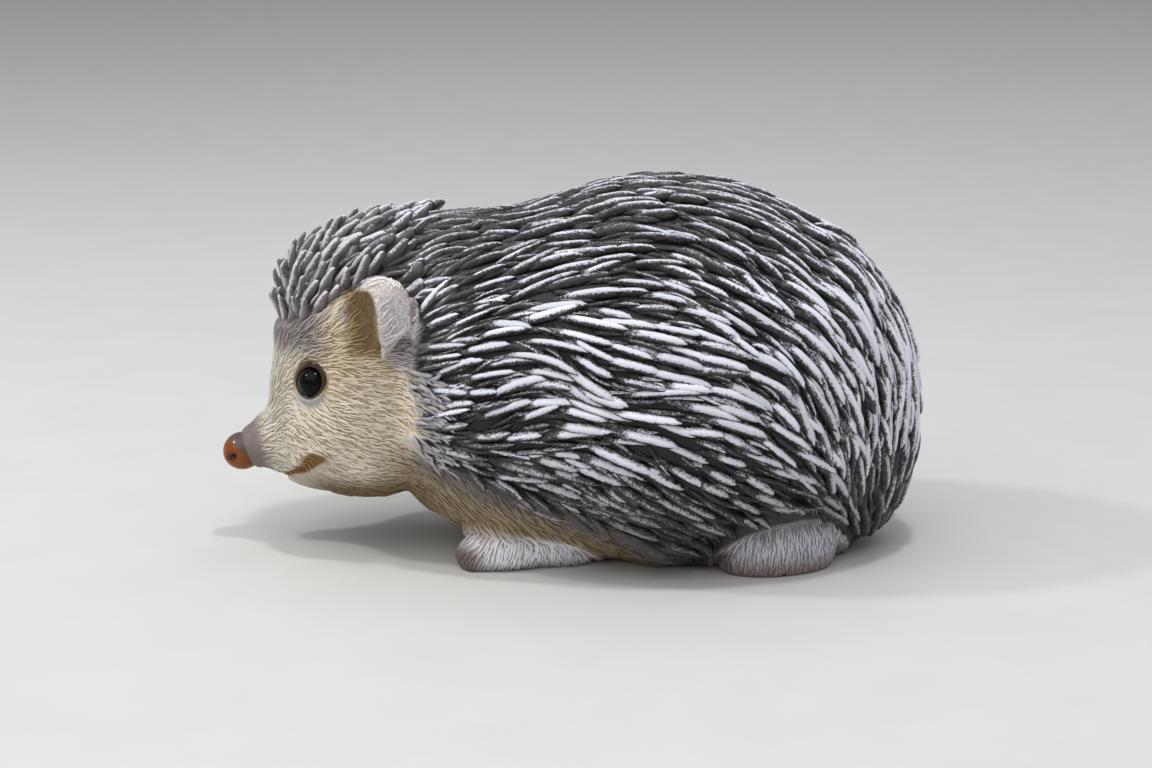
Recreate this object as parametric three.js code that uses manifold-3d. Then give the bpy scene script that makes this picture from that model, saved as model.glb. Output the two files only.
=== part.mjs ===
// A hand-painted hedgehog ornament, cast in resin: a plump, crouching hedgehog with its four
// feet tucked under a mantle of leaf-shaped spines. Millimetres, +Z up, nose towards -Y,
// and the animal's left side on +X. The sole of the casting lies on Z = 0.
//
// Each mass of the body is a superellipsoid "lump", and lumps that belong together are melted
// into one smooth closed skin. The skin is found along rays from a centre, so every node starts
// as a reshaped sphere. The surface stands at the tips of the carved coat.

import * as THREE from 'three';
import { mergeVertices } from 'three/addons/utils/BufferGeometryUtils.js';
import ManifoldModule from 'manifold-3d';

const wasm = await ManifoldModule();
wasm.setup();

// ---------------------------------------------------------------------------------------------
// Driving sizes
// ---------------------------------------------------------------------------------------------

const PARTING = 0.3;        // gap left by each thin cut between two named parts
const TRUNK_MELT = 2.5;     // how softly the trunk's lumps flow into each other
const HEAD_MELT = 3.5;      // the same on the head, where the snout swells out of the face
const FOOT_MELT = 1.2;      // and between toes
const FAR = 400;            // side of the boxes that do the flat cuts
const EYE_RADIUS = 4.8;     // domed glass-like eye
const EYE_CENTRE = [22.8, -74.5, 53.8];

// Where the neck is parted: a plane through this point, leaning back by this angle.
const NECK_POINT = [0, -46, 50];
const NECK_LEAN = 5;

// ---------------------------------------------------------------------------------------------
// Lumps and the smooth skin over them
// ---------------------------------------------------------------------------------------------

// One mass: its centre, its three radii, its squareness n (2 is an ellipsoid), and its turn in
// degrees, pitch about X (nose down is positive) then yaw about Z.
function lump(at, radii, { n = 2, pitch = 0, yaw = 0 } = {}) {
  const turn = new THREE.Euler(
    THREE.MathUtils.degToRad(pitch),
    0,
    THREE.MathUtils.degToRad(yaw),
    'ZYX',
  );
  const inverse = new THREE.Quaternion().setFromEuler(turn).invert();
  return { at: new THREE.Vector3(...at), radii, n, inverse };
}

// Signed distance to a lump, close enough near its surface for melting and growing.
function distanceToLump(mass, point) {
  const local = point.clone().sub(mass.at).applyQuaternion(mass.inverse);
  const scaled = [local.x, local.y, local.z].map((c, i) => Math.abs(c) / mass.radii[i]);
  const size = scaled.reduce((sum, s) => sum + s ** mass.n, 0) ** (1 / mass.n);
  if (size < 1e-6) return -Math.min(...mass.radii);
  const steep = Math.hypot(...scaled.map((s, i) => (s / size) ** (mass.n - 1) / mass.radii[i]));
  return (size - 1) / steep;
}

// Distance to the skin melted over several lumps.
function distanceToSkin(lumps, melt, point) {
  const sum = lumps.reduce((s, mass) => s + Math.exp(-distanceToLump(mass, point) / melt), 0);
  return -melt * Math.log(sum);
}

// How far the skin lies from the centre along a ray, by halving.
function reachAlong(centre, direction, lumps, melt, grow) {
  let near = 0;
  let far = 150;
  while (far - near > 0.002) {
    const middle = (near + far) / 2;
    const probe = centre.clone().addScaledVector(direction, middle);
    if (distanceToSkin(lumps, melt, probe) < grow) near = middle;
    else far = middle;
  }
  return (near + far) / 2;
}

// A closed skin round a centre. The sphere's poles lie fore and aft. `crowd` above 1 draws its
// rings together towards the front pole, which can be pitched to follow a snout.
function skinSolid(centre, lumps, rings, segments, options = {}) {
  const { grow = 0, melt = 1, crowd = 1, pitch = 0 } = options;
  const sphere = new THREE.SphereGeometry(1, segments, rings);
  sphere.deleteAttribute('normal');
  sphere.deleteAttribute('uv');
  const ball = mergeVertices(sphere, 1e-5);
  const middle = new THREE.Vector3(...centre);
  const place = ball.getAttribute('position');
  const tilt = new THREE.Vector3(1, 0, 0);
  for (let i = 0; i < place.count; i += 1) {
    const ray = new THREE.Vector3().fromBufferAttribute(place, i).normalize();
    const fromFront = Math.acos(THREE.MathUtils.clamp(-ray.y, -1, 1));
    const crowded = Math.PI * (fromFront / Math.PI) ** crowd;
    const around = Math.atan2(ray.z, ray.x);
    ray.set(
      Math.sin(crowded) * Math.cos(around),
      -Math.cos(crowded),
      Math.sin(crowded) * Math.sin(around),
    );
    ray.applyAxisAngle(tilt, THREE.MathUtils.degToRad(pitch));
    const reach = reachAlong(middle, ray, lumps, melt, grow);
    const skin = middle.clone().addScaledVector(ray, reach);
    place.setXYZ(i, skin.x, skin.y, skin.z);
  }
  return toManifold(ball);
}

// ---------------------------------------------------------------------------------------------
// Joining and cutting
// ---------------------------------------------------------------------------------------------

function toManifold(geometry) {
  const mesh = new wasm.Mesh({
    numProp: 3,
    vertProperties: new Float32Array(geometry.getAttribute('position').array),
    triVerts: new Uint32Array(geometry.getIndex().array),
  });
  return new wasm.Manifold(mesh);
}

function toGeometry(solid) {
  const mesh = solid.getMesh();
  const geometry = new THREE.BufferGeometry();
  geometry.setAttribute('position', new THREE.BufferAttribute(mesh.vertProperties, 3));
  geometry.setIndex(new THREE.BufferAttribute(mesh.triVerts, 1));
  geometry.computeVertexNormals();
  return geometry;
}

// Everything on the far side of a plane through `point`, whose outward side is `normal`.
function halfSpace(point, normal) {
  const box = new THREE.BoxGeometry(FAR, FAR, FAR).translate(0, 0, FAR / 2);
  const turn = new THREE.Quaternion().setFromUnitVectors(
    new THREE.Vector3(0, 0, 1),
    normal.clone().normalize(),
  );
  box.applyQuaternion(turn).translate(point.x, point.y, point.z);
  box.deleteAttribute('normal');
  box.deleteAttribute('uv');
  return toManifold(mergeVertices(box, 1e-5));
}

const down = new THREE.Vector3(0, 0, -1);
const belowFloor = halfSpace(new THREE.Vector3(0, 0, 0), down);

const neckPoint = new THREE.Vector3(...NECK_POINT);
const neckForward = new THREE.Vector3(0, -1, 0).applyAxisAngle(
  new THREE.Vector3(1, 0, 0),
  THREE.MathUtils.degToRad(-NECK_LEAN),
);
const neckEdge = (side) => neckPoint.clone().addScaledVector(neckForward, (side * PARTING) / 2);
const aheadOfNeck = halfSpace(neckEdge(-1), neckForward);
const behindNeck = halfSpace(neckEdge(1), neckForward.clone().negate());

const mirrorPoint = ([x, y, z]) => [-x, y, z];
const mirrorLump = (at, radii, turn = {}) => [
  lump(at, radii, turn),
  lump(mirrorPoint(at), radii, { ...turn, yaw: -(turn.yaw ?? 0) }),
];

// ---------------------------------------------------------------------------------------------
// Trunk
// ---------------------------------------------------------------------------------------------

const TRUNK_CENTRE = [0, 20, 50];
const trunkLumps = [
  lump([0, 28, 52], [59, 75, 59.6]),                    // barrel under the high back
  lump([0, -13, 48.5], [50, 46, 50]),                   // shoulders
  lump([0, -36, 61], [39, 34, 39.6], { n: 2.3 }),       // nape, level with the crown
  lump([0, 51, 34], [38, 54, 48.5]),                    // rump, falling steeply to the floor
];
const trunkSkin = (grow) =>
  skinSolid(TRUNK_CENTRE, trunkLumps, 28, 44, { grow, melt: TRUNK_MELT });
const trunk = trunkSkin(0).subtract(belowFloor).subtract(aheadOfNeck);
const trunkClearance = trunkSkin(PARTING);

// ---------------------------------------------------------------------------------------------
// Head
// ---------------------------------------------------------------------------------------------

const HEAD_CENTRE = [0, -62, 45];
const headLumps = [
  lump([0, -54.5, 64.5], [32.2, 28.4, 35], { n: 2.2 }),   // skull
  lump([0, -65, 67.5], [20, 22.2, 28.4], { n: 2.2 }),     // forehead
  ...mirrorLump([14.5, -60, 38], [15.2, 23.5, 20.5]),     // cheeks
  lump([0, -83, 31.8], [9.3, 17.7, 9.3], { pitch: 11 }),  // snout
  lump([0, -70, 24], [9.6, 15, 7.6], { n: 2.5 }),         // lower jaw
  lump([0, -74, 47.5], [12, 15, 12.5]),                   // bridge between the eyes
];
const headSkin = (grow) =>
  skinSolid(HEAD_CENTRE, headLumps, 28, 36, {
    grow,
    melt: HEAD_MELT,
    crowd: 1.35,
    pitch: 14,
  });

function ball(centre, radius, segments) {
  const sphere = new THREE.SphereGeometry(radius, segments, Math.round(segments * 0.6));
  sphere.deleteAttribute('normal');
  sphere.deleteAttribute('uv');
  sphere.translate(...centre);
  return toManifold(mergeVertices(sphere, 1e-5));
}

const eyePlace = (side) => [side * EYE_CENTRE[0], EYE_CENTRE[1], EYE_CENTRE[2]];
const head = headSkin(0)
  .subtract(behindNeck)
  .subtract(ball(eyePlace(1), EYE_RADIUS + PARTING, 16))
  .subtract(ball(eyePlace(-1), EYE_RADIUS + PARTING, 16));
const headClearance = headSkin(PARTING);

// ---------------------------------------------------------------------------------------------
// Ears, nose, legs
// ---------------------------------------------------------------------------------------------

// A hooded ear: an egg hollowed from the front and outside, standing out of the side of the head.
function ear(side) {
  const outerAt = [side * 32.2, -53.6, 73.3];
  const hollowAt = [side * 41, -63.3, 70.6];
  const pitch = 22;
  const outer = skinSolid(outerAt, [lump(outerAt, [8.5, 11, 12.8], { pitch })], 14, 20);
  const hollow = skinSolid(hollowAt, [lump(hollowAt, [11, 9.6, 13.8], { n: 3.4, pitch: 4 })], 16, 24);
  return outer.subtract(hollow).subtract(headClearance).subtract(trunkClearance);
}

const NOSE_CENTRE = [0, -99.6, 27.3];
const noseLump = lump(NOSE_CENTRE, [5.6, 5.6, 5.4], { pitch: 10 });
const nose = skinSolid(NOSE_CENTRE, [noseLump], 10, 16).subtract(headClearance);

// A foot with its four toes side by side at the front.
function foreleg(side) {
  const centre = [side * 27, -14, 6];
  const yaw = side * 8;
  const toes = [-1.5, -0.5, 0.5, 1.5].map((step) =>
    lump([side * (27.5 + step * 3.8), -29.5 + Math.abs(step), 3.2], [2.2, 4.6, 3.4], { yaw }),
  );
  const lumps = [
    lump([side * 27, -19, 4.5], [8.4, 12.6, 7.6], { yaw }),
    lump([side * 23, -5, 6], [9.5, 16, 8.5]),
    ...toes,
  ];
  return skinSolid(centre, lumps, 18, 24, { melt: FOOT_MELT })
    .subtract(belowFloor)
    .subtract(trunkClearance);
}

function hindleg(side) {
  const centre = [side * 27, 60, 7];
  const toes = [-1.5, -0.5, 0.5, 1.5].map((step) =>
    lump([side * (31 + step * 3.6), 47 + Math.abs(step), 3.2], [2.2, 4.6, 3.4]),
  );
  const lumps = [
    lump([side * 27.8, 60.5, 6.8], [12, 17.5, 13.5], { n: 2.3, yaw: side * 24 }),
    ...toes,
  ];
  return skinSolid(centre, lumps, 16, 24, { melt: FOOT_MELT })
    .subtract(belowFloor)
    .subtract(trunkClearance);
}

// ---------------------------------------------------------------------------------------------
// Scene graph
// ---------------------------------------------------------------------------------------------

const paint = {
  spines: { color: 0x5a4c46, roughness: 0.42, metalness: 0 },
  fur: { color: 0xc9b48d, roughness: 0.62, metalness: 0 },
  ear: { color: 0xa79386, roughness: 0.6, metalness: 0 },
  feet: { color: 0x9b8b80, roughness: 0.6, metalness: 0 },
  nose: { color: 0x8a3c14, roughness: 0.15, metalness: 0 },
  eye: { color: 0x050505, roughness: 0.04, metalness: 0 },
};

const hedgehog = new THREE.Group();
hedgehog.name = 'hedgehog';

function addNode(name, solid, look) {
  const mesh = new THREE.Mesh(toGeometry(solid), new THREE.MeshStandardMaterial(look));
  mesh.name = name;
  hedgehog.add(mesh);
}

addNode('trunk', trunk, paint.spines);
addNode('head', head, paint.fur);
addNode('nose', nose, paint.nose);
for (const [sideName, side] of [['left', 1], ['right', -1]]) {
  addNode(`ear_${sideName}`, ear(side), paint.ear);
  addNode(`eye_${sideName}`, ball(eyePlace(side), EYE_RADIUS, 18), paint.eye);
  addNode(`foreleg_${sideName}`, foreleg(side), paint.feet);
  addNode(`hindleg_${sideName}`, hindleg(side), paint.feet);
}

export default hedgehog;
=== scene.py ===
# The cast resin hedgehog ornament as it looks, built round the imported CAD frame.
# One skin replaces the flesh nodes, and spines and fur locks are solid ridges moulded on it.
# Everything is worked out in millimetres and turned into metres when a mesh is made.
import math
from collections import namedtuple

import bmesh
import bpy
import numpy as np
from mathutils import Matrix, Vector
from mathutils.bvhtree import BVHTree


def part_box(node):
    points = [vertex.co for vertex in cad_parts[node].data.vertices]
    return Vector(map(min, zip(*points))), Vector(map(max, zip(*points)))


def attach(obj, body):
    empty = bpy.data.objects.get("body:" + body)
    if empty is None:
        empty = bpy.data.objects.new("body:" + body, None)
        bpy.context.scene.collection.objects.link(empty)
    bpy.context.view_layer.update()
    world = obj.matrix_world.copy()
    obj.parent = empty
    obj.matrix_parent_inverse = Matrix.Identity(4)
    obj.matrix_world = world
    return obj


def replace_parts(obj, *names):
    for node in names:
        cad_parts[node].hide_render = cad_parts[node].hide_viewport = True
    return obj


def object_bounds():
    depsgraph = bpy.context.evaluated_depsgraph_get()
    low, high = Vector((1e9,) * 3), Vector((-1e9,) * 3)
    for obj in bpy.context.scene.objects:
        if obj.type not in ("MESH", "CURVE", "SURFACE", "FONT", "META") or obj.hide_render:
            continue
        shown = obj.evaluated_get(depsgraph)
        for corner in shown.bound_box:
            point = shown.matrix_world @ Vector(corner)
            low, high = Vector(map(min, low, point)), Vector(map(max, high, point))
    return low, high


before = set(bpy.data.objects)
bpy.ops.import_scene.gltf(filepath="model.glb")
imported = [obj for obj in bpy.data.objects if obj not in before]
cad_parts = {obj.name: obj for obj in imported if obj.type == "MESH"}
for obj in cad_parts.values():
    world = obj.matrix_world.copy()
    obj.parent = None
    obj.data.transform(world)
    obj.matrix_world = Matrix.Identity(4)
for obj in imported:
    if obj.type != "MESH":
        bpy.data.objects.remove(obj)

CAD_LOW, CAD_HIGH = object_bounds()
MM = 0.001
TINY = 1e-9
SEED = 4

# ---------------------------------------------------------------- sizes and places, in millimetres

EARS = ("ear_left", "ear_right")
FEET = ("foreleg_left", "foreleg_right", "hindleg_left", "hindleg_right")
FEATURES = EARS + FEET                 # their CAD shape is finer than a voxel
FLESH = ("trunk", "head") + FEATURES
WELD = 0.0004            # CAD vertices closer than this, in metres, are one vertex
PARTING_CLOSE = 0.35     # each node grows by this, so that the cuts between them close
VOXEL = 1.25
EAR_SMOOTHING = 30
NAPE_SMOOTHING = 90      # rounds that melt the step between the head and the trunk

COAT_DEPTH = 2.4         # the skin lies this far in under the spines
FUR_DEPTH = 0.35         # and this far in under the fur
CHEST_STEP = 1.6         # the mantle of spines overhangs the chest's fur by this

# A kind of tuft: the gaps between roots along the lie and across it; the ranges of its length,
# half width, height and how far its tip stands off the skin; the stations along it; how far its
# way strays, in degrees; how many roots are tried; and how much of its tip hangs free.
Kind = namedtuple("Kind", "gaps length half_width height lift stations spread tries free")
CROWN = Kind((5.8, 3.5), (8, 14), (1.4, 2.0), (1.7, 2.5), (1.7, 5.2), 13, 13, 20000, 1.0)
BACK = Kind((9.8, 3.3), (14, 25), (1.3, 1.95), (1.6, 2.3), (0.5, 1.8), 13, 7, 20000, 0.45)
FRINGE = Kind((4.6, 2.5), (9, 14), (1.05, 1.5), (1.2, 1.8), (-0.6, 0.7), 13, 9, 20000, 1.0)
UNDER = Kind((7.0, 1.9), (10, 17), (0.8, 1.35), (1.0, 1.6), (0.1, 0.5), 9, 9, 18000, 0.0)
FACE = Kind((3.3, 0.48), (4.2, 7.5), (0.25, 0.36), (0.26, 0.44), (0.0, 0.25), 7, 7, 55000, 0.0)
RUFF = Kind((2.6, 0.95), (5.5, 9.5), (0.45, 0.85), (0.6, 1.0), (0.6, 2.2), 9, 11, 8000, 1.0)
CHEST = Kind((4.4, 0.74), (4, 8), (0.32, 0.50), (0.20, 0.38), (0.0, 0.25), 8, 8, 30000, 0.0)
FOOT_FUR = Kind((2.2, 0.58), (3, 5), (0.30, 0.42), (0.20, 0.34), (0.0, 0.12), 6, 5, 25000, 0.0)
EAR_FUR = Kind((1.2, 0.42), (0.9, 1.7), (0.17, 0.25), (0.07, 0.14), (0.0, 0.04), 6, 30, 20000, 0.0)

CROWN_END = -50.0        # ahead of this the spines are the crown's short, blunt ones
BLUNT_TIP = 7            # how square a spine's tip is there
LEAF_TIP = 4.2           # and on the rest of the body
SOFT_TIP = 2.7           # and at the end of any other tuft
SPINE_STIFFNESS = 0.6    # how far a spine keeps its root's direction
SPINE_ROUNDS = 14        # how often the spines' roots push each other apart
UNDER_DULL = (0.10, 0.75)   # so much less white paint reaches the ridges under the spines
FRINGE_DROP = 0.33       # how much further down the fringe over the chest points
ROOT_DEPTH = 0.7         # a tuft goes this far into the skin
SHARPEST_TURN = 0.86     # the cosine of the sharpest turn a tuft makes from station to station
SHORTEST = 0.35          # a tuft that a region cuts shorter than this share is left out
RELAX_REACH = 1.5        # roots nearer than this many gaps push each other
RELAX_STEP = 0.12
HEM_START = 2.8          # nearer the mantle's edge than this, spines leave the skin
HEM_LOWEST = 4.0         # but one that would come nearer the ground than this stays on it
HEM_LIFT = 1.7           # the tips at the hem stand so much further off
UNROLL_CENTRE = 40.0     # the height of the axis that the skin is unrolled about
BACK_ANGLE = 0.72        # the back's piece of spines ends this far round from the top, in radians

EYE_RADIUS = 4.8
EYE_CENTRE = np.array((22.8, -74.5, 53.8))
EYE_AXIS = np.array((0.83, -0.50, 0.24))
EYE_AXIS = EYE_AXIS / np.linalg.norm(EYE_AXIS)
LID_INNER = 4.38         # distances from the eye's axis
LID_OUTER = 5.6
SOCKET_EDGE = 7.1

RIM_INNER = 4.28         # the rim's inner edge lies on the ball, this far from the axis
LID_HEIGHT = 0.55        # how high the lid swells round the socket

MOUTH_DEPTH = 1.0
LIP_ROLL = 0.4           # how far the upper lip swells over the mouth
COLLAR_HEIGHT = 0.55     # how far the muzzle swells round the nose
COLLAR_PLACE = 6.6       # and how far from the nose's centre
NOSE_TIP = np.array((0.0, -105.0, 27.0))
NOSE_CENTRE = np.array((0.0, -99.5, 27.4))
NOSE_RADII = (5.9, 5.9, 5.7)

# The lower and front edge of the mantle of spines in the side view, as (y, z), from the
# forehead over the ear, down the cheek and along the belly to the ground behind the foot.
MANTLE = ((-120, 66), (-88, 67), (-79, 70), (-71, 76), (-66, 80.5), (-60, 80), (-50, 78),
          (-44, 73), (-45.5, 66), (-46, 60), (-42, 50), (-44.5, 41), (-41, 34), (-26, 27.5),
          (-14.5, 24), (-4, 20.5), (9, 15.5), (15, 12.5), (20, 8.5), (27, 4.2), (38, 4.2),
          (43, 8), (50, 15.5), (60, 18.5), (71, 17), (78, 11), (82, 4), (83, -20),
          (130, -20), (130, 140), (-120, 140))
# The height of the spines' tops along the back, as (y, z).
TOP_LINE = ((-71, 96.2), (-63, 98.6), (-53, 100.9), (-46, 100.9), (-37, 101.4), (-29, 101.4),
            (-22, 102.3), (-15, 103), (-8, 105.3), (2, 108), (9, 110), (15, 111.1), (26, 111.5),
            (36, 111.6), (46, 110.3), (55, 108), (69, 101.2))
TOP_COVER = 2.7          # the spines stand this high over the skin there

CHIN_FRONT = -85.6       # the chin's front face, set back from the lip
LIP_HEIGHT = 22.2
# The smile's pocket in the side view, as (y, z): along the upper lip, then back along the lower.
UPPER_LIP = ((-86.4, 22.5), (-84.8, 23.2), (-82.2, 25.3), (-78.8, 29.6), (-77.0, 32.2),
             (-74.8, 33.4), (-72.8, 33.1))
LOWER_LIP = ((-71.4, 31.4), (-74.4, 29.2), (-80.0, 23.9), (-84.9, 21.9))
MOUTH = UPPER_LIP + LOWER_LIP

# ---------------------------------------------------------------- arithmetic on arrays


def unit(vectors):
    return vectors / np.maximum(np.linalg.norm(vectors, axis=-1, keepdims=True), TINY)


def ramp(value, low, high):
    """0 at low, 1 at high and a smooth rise between."""
    share = np.clip((value - low) / (high - low), 0, 1)
    return share * share * (3 - 2 * share)


def mix(first, second, share):
    share = np.asarray(share)[..., None]
    return first * (1 - share) + np.asarray(second) * share


def across(vectors, normals):
    """The part of each vector that lies in the surface."""
    return vectors - normals * np.sum(vectors * normals, axis=-1, keepdims=True)


def turned(vectors, axes, angles):
    """Each vector, which is square to its axis, turned about it."""
    angles = np.asarray(angles)[..., None]
    return vectors * np.cos(angles) + np.cross(axes, vectors) * np.sin(angles)


def mirrored(points):
    """The points on the left side, where x is positive."""
    return np.column_stack((np.abs(points[:, 0]), points[:, 1:]))


def line_distance(places, line):
    """From each place of a plane to an open line: the distance, and the way along in 0 to 1."""
    line = np.asarray(line, float)
    lengths = np.linalg.norm(np.diff(line, axis=0), axis=1)
    starts = np.concatenate(((0,), np.cumsum(lengths)))
    best = np.full(len(places), np.inf)
    way = np.zeros(len(places))
    for start, a, b, length in zip(starts, line[:-1], line[1:], lengths):
        share = np.clip((places - a) @ (b - a) / length ** 2, 0, 1)
        distance = np.linalg.norm(places - (a + share[:, None] * (b - a)), axis=1)
        nearer = distance < best
        best[nearer] = distance[nearer]
        way[nearer] = (start + share * length)[nearer] / starts[-1]
    return best, way


def inside(places, outline):
    """How far each place of a plane is inside a closed outline; outside it is negative."""
    outline = np.asarray(outline, float)
    distance, _ = line_distance(places, np.vstack((outline, outline[:1])))
    odd = np.zeros(len(places), bool)
    y, z = places.T
    for (ay, az), (by, bz) in zip(outline, np.roll(outline, -1, axis=0)):
        if az != bz:
            crosses = (az > z) != (bz > z)
            odd ^= crosses & (y < ay + (z - az) / (bz - az) * (by - ay))
    return np.where(odd, distance, -distance)


class Outline:
    """A closed outline in the side view; how deep places lie in it is found once, on a grid."""

    def __init__(self, corners, low, high, step):
        self.low, self.step = np.array(low, float), step
        y, z = (np.arange(start, end, step) for start, end in zip(low, high))
        self.last = np.array((len(y), len(z))) - 1.001
        grid = np.stack(np.meshgrid(y, z, indexing="ij"), axis=-1).reshape(-1, 2)
        self.depths = inside(grid, corners).reshape(len(y), len(z))

    def depth(self, points):
        """How far inside each point is; outside it is negative."""
        spot = np.clip((points[:, 1:] - self.low) / self.step, 0, self.last)
        cell = spot.astype(int)
        (i, j), (u, v) = cell.T, (spot - cell).T
        nearer, farther = (self.depths[i, j + k] * (1 - u) + self.depths[i + 1, j + k] * u
                           for k in (0, 1))
        return nearer * (1 - v) + farther * v


MANTLE_MAP = Outline(MANTLE, (-112, -2), (112, 118), 0.5)
MOUTH_MAP = Outline(MOUTH, (-92, 16), (-66, 38), 0.15)


# ---------------------------------------------------------------- surfaces


def vertex_normals(points, triangles):
    a, b, c = (points[triangles[:, k]] for k in range(3))
    faces = np.cross(b - a, c - a)
    return unit(np.column_stack([
        sum(np.bincount(triangles[:, k], faces[:, axis], len(points)) for k in range(3))
        for axis in range(3)]))


class Surface:
    """A triangle mesh that can be asked for its nearest points."""

    def __init__(self, points, triangles):
        self.points, self.triangles = points, triangles
        self.face_normals = unit(vertex_normals(points, triangles)[triangles].sum(axis=1))
        self.middles = points[triangles].mean(axis=1)
        self.tree = BVHTree.FromPolygons(points.tolist(), triangles.tolist())

    def settle(self, points):
        """The nearest points of the surface, and its normals there."""
        places, faces = [], []
        for point in points.tolist():
            place, _, face, _ = self.tree.find_nearest(point)
            places.append(place[:])
            faces.append(face)
        return np.array(places), self.face_normals[faces]


def cad_solid(name, grow):
    """A CAD node in millimetres, its shared vertices merged, grown along its normals."""
    solid = bmesh.new()
    solid.from_mesh(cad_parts[name].data)
    bmesh.ops.remove_doubles(solid, verts=solid.verts, dist=WELD)
    bmesh.ops.recalc_face_normals(solid, faces=solid.faces)
    solid.normal_update()
    for vertex in solid.verts:
        vertex.co = vertex.co / MM + vertex.normal * grow
    bmesh.ops.triangulate(solid, faces=solid.faces)
    return solid


def joined(names, grow):
    """Several CAD nodes in one mesh."""
    whole = bpy.data.meshes.new("joined")
    all_solids = bmesh.new()
    for name in names:
        solid = cad_solid(name, grow)
        solid.to_mesh(whole)
        solid.free()
        all_solids.from_mesh(whole)
    all_solids.to_mesh(whole)
    all_solids.free()
    return whole


def mesh_points(mesh):
    points = np.empty(len(mesh.vertices) * 3)
    mesh.vertices.foreach_get("co", points)
    return points.reshape(-1, 3)


def mesh_triangles(mesh):
    mesh.calc_loop_triangles()
    triangles = np.empty(len(mesh.loop_triangles) * 3, np.int32)
    mesh.loop_triangles.foreach_get("vertices", triangles)
    return triangles.reshape(-1, 3)


def mesh_edges(mesh):
    edges = np.empty(len(mesh.edges) * 2, np.int32)
    mesh.edges.foreach_get("vertices", edges)
    return edges.reshape(-1, 2)


def melted(mesh):
    """The outer surface of everything in the mesh, as one even skin of voxels."""
    holder = placed("melting", mesh)
    remesh = holder.modifiers.new("voxels", "REMESH")
    remesh.mode = "VOXEL"
    remesh.voxel_size = VOXEL
    graph = bpy.context.evaluated_depsgraph_get()
    result = bpy.data.meshes.new_from_object(holder.evaluated_get(graph))
    bpy.data.objects.remove(holder)
    return result


def shade_smooth(mesh):
    mesh.polygons.foreach_set("use_smooth", np.ones(len(mesh.polygons), bool))


def placed(name, data):
    """A new object in the scene."""
    thing = bpy.data.objects.new(name, data)
    bpy.context.scene.collection.objects.link(thing)
    return thing


def refined(mesh, wanted):
    """Cuts every edge in two where both its ends are wanted."""
    fine = bmesh.new()
    fine.from_mesh(mesh)
    edges = [e for e in fine.edges if wanted[e.verts[0].index] and wanted[e.verts[1].index]]
    bmesh.ops.subdivide_edges(fine, edges=edges, cuts=1, use_grid_fill=True)
    fine.to_mesh(mesh)
    fine.free()
    return mesh


def smoothed(points, edges, weights, rounds, shrink=False):
    """Laplacian smoothing as far as each point's weight says; it keeps the volume if told to."""
    a, b = edges.T
    count = np.bincount(edges.ravel(), minlength=len(points))[:, None]
    weights = np.asarray(weights)[:, None]
    for _ in range(rounds):
        for step in ((0.5,) if shrink else (0.55, -0.57)):
            total = np.column_stack([
                np.bincount(a, points[b, axis], len(points))
                + np.bincount(b, points[a, axis], len(points)) for axis in range(3)])
            points = points + weights * step * (total / count - points)
    return points


# ---------------------------------------------------------------- where things are on the body


def spiny(points):
    """How far inside the mantle of spines each point is, in the side view; the ears are out."""
    return np.minimum(MANTLE_MAP.depth(points), 6 - 9 * EAR_PART.share(points, 0.4, 2.2))


def in_mouth(points):
    """How far inside the smile's pocket each point is, in the side view."""
    return MOUTH_MAP.depth(points)


def lip_height(points):
    """The height of the upper lip's edge at each point's place along the head."""
    return np.interp(points[:, 1], *zip(*UPPER_LIP))


def from_eye(points):
    """Distance from the nearer eye's axis, and height above its ball's centre."""
    offset = mirrored(points) - EYE_CENTRE
    height = offset @ EYE_AXIS
    return np.linalg.norm(offset - height[:, None] * EYE_AXIS, axis=1), height


def near_any(points, names, margin):
    """Whether each point is in the box of one of these CAD nodes, widened by a margin."""
    found = np.zeros(len(points), bool)
    for name in names:
        low, high = (np.array(corner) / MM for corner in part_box(name))
        found |= np.all((points > low - margin) & (points < high + margin), axis=1)
    return found


class Part:
    """Some CAD nodes, which can tell how surely a point belongs to them."""

    def __init__(self, names):
        mesh = joined(names, PARTING_CLOSE)
        self.names = names
        self.surface = Surface(mesh_points(mesh), mesh_triangles(mesh))

    def share(self, points, reach=0.7, fade=1.5):
        """1 within reach of the nodes' surface, fading to 0."""
        result = np.zeros(len(points))
        near = np.flatnonzero(near_any(points, self.names, fade))
        if len(near):
            places, _ = self.surface.settle(points[near])
            gap = np.linalg.norm(places - points[near], axis=1)
            result[near] = 1 - ramp(gap, reach, fade)
        return result


EAR_PART, FOOT_PART = Part(EARS), Part(FEET)


def furry_zone(points):
    return (spiny(points) < 3) & (points[:, 1] < 26) | near_any(points, FEATURES, 3)


def feature_zone(points):
    distance, height = from_eye(points)
    return ((distance < 9) & (height > -4)) | (in_mouth(points) > -3) \
        | near_any(points, EARS, 1.5) | (near_any(points, FEET, 1) & (points[:, 2] < 8))


def ear_ends(points):
    """1 at the lower ends of the ears, fading out upwards."""
    return near_any(points, EARS, 2.5) * (1 - ramp(points[:, 2], 63, 68))


def lid_zone(points):
    distance, height = from_eye(points)
    return ((distance < 7.4) & (height > -3)) | (in_mouth(points) > -1.6)


# ---------------------------------------------------------------- the skin


def snap_features(points):
    """Pulls the ears and feet back to the CAD shape that the voxels rounded off."""
    cad = joined(FEATURES, PARTING_CLOSE)
    shape = Surface(mesh_points(cad), mesh_triangles(cad))
    near = np.flatnonzero(near_any(points, FEATURES, 0.5))
    places, _ = shape.settle(points[near])
    moves = places - points[near]
    reach = np.linalg.norm(moves, axis=1)
    points[near] += moves * (1 - ramp(reach, 0.5, 1.1))[:, None]
    return points


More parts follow.
